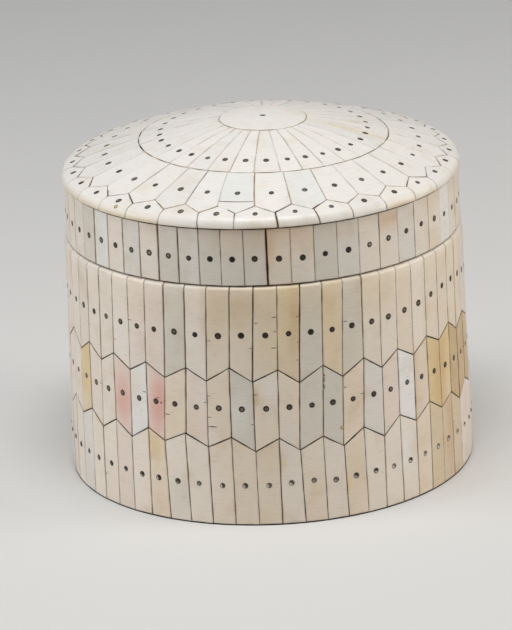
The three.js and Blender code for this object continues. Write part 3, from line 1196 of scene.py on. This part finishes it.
def addPin(shape, plaque, share, path, chance, look):
    # a pin with the dirty ring round it, or a small round fault in the bone
    surface = plaque["surface"]
    sides = pinForm["sides"]
    angle, face = plaqueAt(plaque, share, path)[:2]
    metal, dirt = hexColour(chance.choice(look["tones"])), hexColour(look["dirt"])
    size = 1 + chance.uniform(-0.1, 0.1)
    wire, hole = look["wire"] * size * chance.uniform(0.9, 1.1), look["hole"] * size
    bright = hexColour(look["bright"])
    brightShare = look["brightShare"] * chance.uniform(0.3, 1)
    highlightTurn = math.radians(chance.uniform(*pinForm["highlightFrom"]))
    profile = [
        (hole, -pinForm["depth"], dirt, 0.0),
        (hole, 0.0, dirt, 0.0),
        (0.93 * hole, pinForm["dirtRise"], dirt, 0.0),
        (1.04 * wire, pinForm["dirtRise"], dirt, 0.0),
    ]
    for across, up in pinForm["dome"]:
        profile.append((across * wire, pinForm["wireRise"] + up * look["rise"], metal, look["metal"]))
    rings = []
    for radius, height, tint, metallic in profile:
        ring = []
        for i in range(sides):
            turn = fullTurn * i / sides
            across, along = radius * math.cos(turn), radius * math.sin(turn)
            spot = onSurface(surface, angle + across / surface(path)[0], path + along, face + height)
            # painted highlight: the metal turns pale on one side of the dome
            share = brightShare * max(math.cos(turn - highlightTurn), 0) ** 0.6 if metallic else 0.0
            worn = [a + (b - a) * share for a, b in zip(tint, bright)]
            ring.append(addPoint(shape, spot, worn, (0, 0, 0), metallic))
        rings.append(ring)
    joinRings(shape, rings)


def pinRow(shape, row, plaques, path, look):
    # a pin through each plaque of a row
    chance = random.Random(row["seed"] + 500)
    for plaque in plaques.values():
        angle, width = plaqueAt(plaque, 0.5, path)[::2]
        share = 0.5 + chance.uniform(-1, 1) * look["wander"] / width
        level = path + chance.uniform(-1, 1) * look["wander"]
        for middle, reach, rise in look["bumps"]:
            level += rise * mm * math.exp(-((math.degrees(angle) - middle) / reach) ** 2)
        atFront = math.cos(angle) > math.cos(math.radians(look["frontReach"]))
        tones = look["frontTones"] if atFront else look["tones"]
        addPin(shape, plaque, share, level, chance, {**look, "tones": tones})


# heights of the pins on the body, up the lid's band and from the middle of the lid
pinPlaces = {
    "lower": 16.7 * mm,
    "middle": 48.5 * mm,
    "upper": 78.3 * mm,
    "band": 10.8 * mm,
    "rim": 75.3 * mm,
    "outer": 62.9 * mm,
    "inner": 41.6 * mm,
    "centre": 0.9 * mm,
}
blackPins = ["#2b2420", "#4a3b30", "#5a4636", "#3a2f27"]

bodyPins = newShape()
middleLook = pinLook(bumps=[(-68, 25, -1.8), (48, 12, 0.8)])
pinRow(bodyPins, middleRow, rows["middleStrips"], pinPlaces["middle"], middleLook)
pinRow(bodyPins, upperRow, rows["upperStrips"], pinPlaces["upper"], pinLook(
    bumps=[(64, 17, 3.6), (-48, 22, 0.9)], hole=1.25 * mm, wire=0.55 * mm,
    frontTones=blackPins, frontReach=24, tones=["#75675a", "#82715f", "#6b5d50", "#4f4338"],
))
# small faults in the middle row: a blister, a red dot and crumbs of filler beside a joint
blister = pinLook(wire=0.5 * mm, hole=0.75 * mm, dirt="#b59a6c", tones=["#cdb993"], metal=0.0)
addPin(bodyPins, rows["middleStrips"][2], 0.93, 37.6 * mm, random.Random(1), blister)
redDot = pinLook(wire=0.2 * mm, hole=0.42 * mm, dirt="#6e2f26", tones=["#7d3a30"], metal=0.0)
addPin(bodyPins, rows["middleStrips"][-6], 0.8, 48.3 * mm, random.Random(2), redDot)
crumbForm = {
    "count": 14,
    "sizes": (0.16, 0.34),        # mm
    "across": (0.0, 0.07),        # shares of the strip's width
    "levels": (53.5, 60.5),       # mm above the floor
    "colours": ["#a58a63", "#6e5a44"],
}
crumbs = random.Random(6)
for number in range(crumbForm["count"]):
    look = pinLook(
        wire=0.08 * mm, hole=crumbs.uniform(*crumbForm["sizes"]) * mm,
        dirt=crumbs.choice(crumbForm["colours"]), tones=["#6e5a44"], metal=0.0,
    )
    spot = (crumbs.uniform(*crumbForm["across"]), crumbs.uniform(*crumbForm["levels"]) * mm)
    addPin(bodyPins, rows["middleStrips"][2], *spot, crumbs, look)
finishPiece("bodyPins", bodyPins, dullIron)

lowerPins = newShape()
# the lower pins carry a painted highlight on one side of their domes
pinRow(lowerPins, lowerRow, rows["lowerStrips"], pinPlaces["lower"], pinLook(
    bumps=[(-38, 14, 0.5), (8, 5, 1.2), (62, 12, 0.9)], wire=0.9 * mm, rise=0.4 * mm, metal=0.25,
    tones=["#6f665b", "#584e45", "#453c34", "#3a322b"], brightShare=1.0,
))
finishPiece("lowerPins", lowerPins, glossyIronWire)

lidPins = newShape()
pinRow(lidPins, lidBand, rows["lidSideStrips"], pinPlaces["band"], pinLook(
    bumps=[(-52, 14, -1.0), (-8, 8, 1.1), (10, 7, -0.6), (50, 14, 1.6)], hole=1.2 * mm,
    frontTones=blackPins, frontReach=27, tones=["#85776a", "#75675a", "#5a4d40", "#948573"],
))
lidLook = pinLook(hole=1.1 * mm, wire=0.78 * mm, tones=["#6a6458", "#7a7264", "#5c564c"], metal=0.3)
pinRow(lidPins, rimRow, rows["lidRimPlaques"], domePath(pinPlaces["rim"]), lidLook)
plug = pinLook(wire=0.7 * mm, hole=0.95 * mm, dirt="#a58a63", tones=["#bfa77d"], metal=0.0)
addPin(lidPins, rows["lidRimPlaques"][-5], 0.6, domePath(78.6 * mm), random.Random(8), plug)
pinRow(lidPins, outerRow, rows["lidOuterPlaques"], domePath(pinPlaces["outer"]), lidLook)
pinRow(lidPins, innerRow, rows["lidInnerPlaques"], domePath(pinPlaces["inner"]), lidLook)
centrePlaque = {
    **rows["lidInnerPlaques"][0],
    "sides": (lambda path: -1.0, lambda path: 1.0),
    "lift": discForm["lift"],
    "flat": 0,
    "tilt": 0,
    "lean": 0,
}
addPin(lidPins, centrePlaque, 0.5, domePath(pinPlaces["centre"]), random.Random(5), lidLook)
finishPiece("lidPins", lidPins, dullIron)
print("pins driven")


# Floor and light

floorForm = {
    "reach": 3.0,
    "colour": "#d9d9d8",
    "roughness": 0.9,
}
lightForms = {                    # place, height aimed at, size, power and colour
    "topLight": ((0.0, -0.3, 1.45), 0.1, 0.8, 13.0, "#fffefc"),
    "leftLight": ((-1.45, -0.3, 0.65), 0.07, 0.9, 9.0, "#ffffff"),
    "rightLight": ((1.45, -0.25, 0.6), 0.07, 0.7, 8.5, "#fff8ee"),
}
airForm = {
    "colour": (0.8, 0.82, 0.85),
    "strength": 0.21,
}


def makeFloor():
    reach = floorForm["reach"]
    mesh = bpy.data.meshes.new("floor")
    corners = [(-reach, -reach, 0), (reach, -reach, 0), (reach, reach, 0), (-reach, reach, 0)]
    mesh.from_pydata(corners, [], [(0, 1, 2, 3)])
    material, tree, shader = newMaterial("pale paper")
    setInputs(tree, shader, {
        "Base Color": hexColour(floorForm["colour"]), "Roughness": floorForm["roughness"],
    })
    mesh.materials.append(material)
    addObject("floor", mesh)


def addLight(name, place, aim, size, power, colour):
    # a round soft light, aimed at a height over the middle of the floor
    data = bpy.data.lights.new(name, "AREA")
    data.shape = "DISK"
    data.size = size
    data.energy = power
    data.color = hexColour(colour)
    light = addObject(name, data)
    light.location = place
    sight = Vector((0, 0, aim)) - Vector(place)
    light.rotation_euler = sight.to_track_quat("-Z", "Y").to_euler()


def makeAir():
    world = bpy.data.worlds.new("studio")
    world.use_nodes = True
    setInputs(world.node_tree, world.node_tree.nodes["Background"], {
        "Color": airForm["colour"], "Strength": airForm["strength"],
    })
    bpy.context.scene.world = world


makeFloor()
for name, form in lightForms.items():
    addLight(name, *form)
makeAir()
bpy.context.scene.view_settings.view_transform = "Standard"
print("studio lit")
